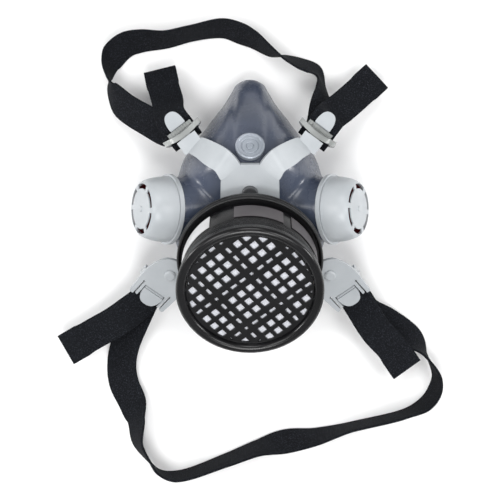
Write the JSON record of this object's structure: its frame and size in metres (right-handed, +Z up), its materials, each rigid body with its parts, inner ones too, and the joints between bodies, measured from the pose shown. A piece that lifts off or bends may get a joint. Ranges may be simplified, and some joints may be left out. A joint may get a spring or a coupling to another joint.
{
  "type": "half mask respirator",
  "caption": "Reusable half-mask respirator: rubber facepiece, one round front filter with a lattice cap, side exhalation valves, and elastic head and neck straps on a light grey yoke.",
  "frame": {"origin": "middle of the underside of the whole object's box, on the surface that the face seal rests on", "axes": "+Y towards the nose, +Z up, away from the wearer's face, +X to the right seen from above"},
  "size_m": [0.2455, 0.2956, 0.1061],
  "materials": {
    "facepiece_rubber": "satin moulded rubber, slate blue-grey",
    "badge_plastic": "satin silver-grey",
    "light_plastic": "satin light grey",
    "dark_plastic": "matt dark grey",
    "black_plastic": "satin black",
    "holder_rubber": "satin black rubber",
    "silicone": "milky silicone",
    "red_silicone": "satin red silicone",
    "clear_plastic": "translucent grey-green",
    "steel": "plain pin steel",
    "webbing": "woven black elastic",
    "filter_felt": "pressed pale felt",
    "filter_paper": "pleated filter paper",
    "charcoal": "packed granules",
    "label_brown": "plain printed label, blank",
    "label_white": "plain white sticker, blank"
  },
  "bodies": {
    "mask": {"facepiece": "facepiece_rubber", "nose_badge": "badge_plastic", "harness_yoke": "light_plastic", "yoke_plug": "dark_plastic", "inhalation_seat": "black_plastic", "cartridge_holder": "holder_rubber", "exhalation_seat_left": "light_plastic", "exhalation_seat_right": "light_plastic", "buckle_pin_left": "steel", "buckle_pin_right": "steel", "clip_stud_left": "light_plastic", "clip_stud_right": "light_plastic", "head_strap_loop": "webbing", "neck_strap_loop": "webbing"},
    "gasket": {"port_gasket": "silicone"},
    "cartridge": {"cartridge_can": "black_plastic", "rear_screen": "filter_felt", "sorbent_bed": "charcoal", "particle_filter": "filter_paper", "prefilter_pad": "filter_felt", "cartridge_label": "label_brown", "sticker_left": "label_white", "sticker_right": "label_brown"},
    "front_cap": {"cartridge_front_rim": "black_plastic", "cartridge_grille": "black_plastic"},
    "inhalation_flap": {"inhalation_diaphragm": "silicone"},
    "exhalation_flap_left": {"exhalation_diaphragm_left": "red_silicone"},
    "exhalation_cover_left": {"exhalation_cover_left": "light_plastic"},
    "upper_buckle_left": {"upper_buckle_left": "clear_plastic", "head_strap_left": "webbing"},
    "upper_lever_left": {"upper_lever_left": "light_plastic"},
    "lower_clip_left": {"lower_clip_left": "light_plastic", "strap_bar_left": "steel", "neck_strap_left": "webbing"},
    "lower_lever_left": {"lower_lever_left": "light_plastic"},
    "exhalation_flap_right": {"exhalation_diaphragm_right": "red_silicone"},
    "exhalation_cover_right": {"exhalation_cover_right": "light_plastic"},
    "upper_buckle_right": {"upper_buckle_right": "clear_plastic", "head_strap_right": "webbing"},
    "upper_lever_right": {"upper_lever_right": "light_plastic"},
    "lower_clip_right": {"lower_clip_right": "light_plastic", "strap_bar_right": "steel", "neck_strap_right": "webbing"},
    "lower_lever_right": {"lower_lever_right": "light_plastic"}
  },
  "joints": [
    {"name": "cartridge_lift", "type": "slide", "parent": "mask", "child": "gasket", "axis": [0, -0.5, 0.866], "range_m": [0, 0.0062]},
    {"name": "cartridge_turn", "type": "hinge", "parent": "gasket", "child": "cartridge", "pos_m": [0, -0.006, 0.053], "axis": [0, -0.5, 0.866], "range_deg": [0, 540]},
    {"name": "front_cap_pull", "type": "slide", "parent": "cartridge", "child": "front_cap", "axis": [0, -0.5, 0.866], "range_m": [0, 0.02]},
    {"name": "inhalation_flap_open", "type": "slide", "parent": "mask", "child": "inhalation_flap", "axis": [0, 0.5, -0.866], "range_m": [0, 0.0015], "stiffness_N_per_m": 60, "springref_m": -0.0005},
    {"name": "exhalation_flap_left_open", "type": "slide", "parent": "mask", "child": "exhalation_flap_left", "axis": [-0.866, 0, 0.5], "range_m": [0, 0.0015], "stiffness_N_per_m": 60, "springref_m": -0.0005},
    {"name": "exhalation_cover_left_pull", "type": "slide", "parent": "mask", "child": "exhalation_cover_left", "axis": [-0.866, 0, 0.5], "range_m": [0, 0.022]},
    {"name": "upper_buckle_left_tilt", "type": "hinge", "parent": "mask", "child": "upper_buckle_left", "pos_m": [-0.03736, 0.06618, 0.0495], "axis": [0.8, 0.6, 0], "range_deg": [-8, 12], "deforming": ["head_strap_left"]},
    {"name": "upper_lever_left_lift", "type": "hinge", "parent": "upper_buckle_left", "child": "upper_lever_left", "pos_m": [-0.04414, 0.07522, 0.0468], "axis": [0.8, 0.6, 0], "range_deg": [0, 30]},
    {"name": "lower_clip_left_swivel", "type": "hinge", "parent": "mask", "child": "lower_clip_left", "pos_m": [-0.0496, -0.01455, 0.0334], "axis": [0, -0.5, 0.866], "range_deg": [-15, 15], "deforming": ["neck_strap_left"]},
    {"name": "lower_lever_left_lift", "type": "hinge", "parent": "lower_clip_left", "child": "lower_lever_left", "pos_m": [-0.06024, -0.02629, 0.02801], "axis": [-0.7705, 0.552, 0.3187], "range_deg": [0, 30]},
    {"name": "exhalation_flap_right_open", "type": "slide", "parent": "mask", "child": "exhalation_flap_right", "axis": [0.866, 0, 0.5], "range_m": [0, 0.0015], "stiffness_N_per_m": 60, "springref_m": -0.0005},
    {"name": "exhalation_cover_right_pull", "type": "slide", "parent": "mask", "child": "exhalation_cover_right", "axis": [0.866, 0, 0.5], "range_m": [0, 0.022]},
    {"name": "upper_buckle_right_tilt", "type": "hinge", "parent": "mask", "child": "upper_buckle_right", "pos_m": [0.03736, 0.06618, 0.0495], "axis": [0.8, -0.6, 0], "range_deg": [-8, 12], "deforming": ["head_strap_right"]},
    {"name": "upper_lever_right_lift", "type": "hinge", "parent": "upper_buckle_right", "child": "upper_lever_right", "pos_m": [0.04414, 0.07522, 0.0468], "axis": [0.8, -0.6, 0], "range_deg": [0, 30]},
    {"name": "lower_clip_right_swivel", "type": "hinge", "parent": "mask", "child": "lower_clip_right", "pos_m": [0.0496, -0.01455, 0.0334], "axis": [0, -0.5, 0.866], "range_deg": [-15, 15], "deforming": ["neck_strap_right"]},
    {"name": "lower_lever_right_lift", "type": "hinge", "parent": "lower_clip_right", "child": "lower_lever_right", "pos_m": [0.06024, -0.02629, 0.02801], "axis": [-0.7705, -0.552, -0.3187], "range_deg": [0, 30]}
  ],
  "couplings": [
    {"joint": "cartridge_lift", "follows": "cartridge_turn", "m_per_rad": 0.00063662}
  ]
}
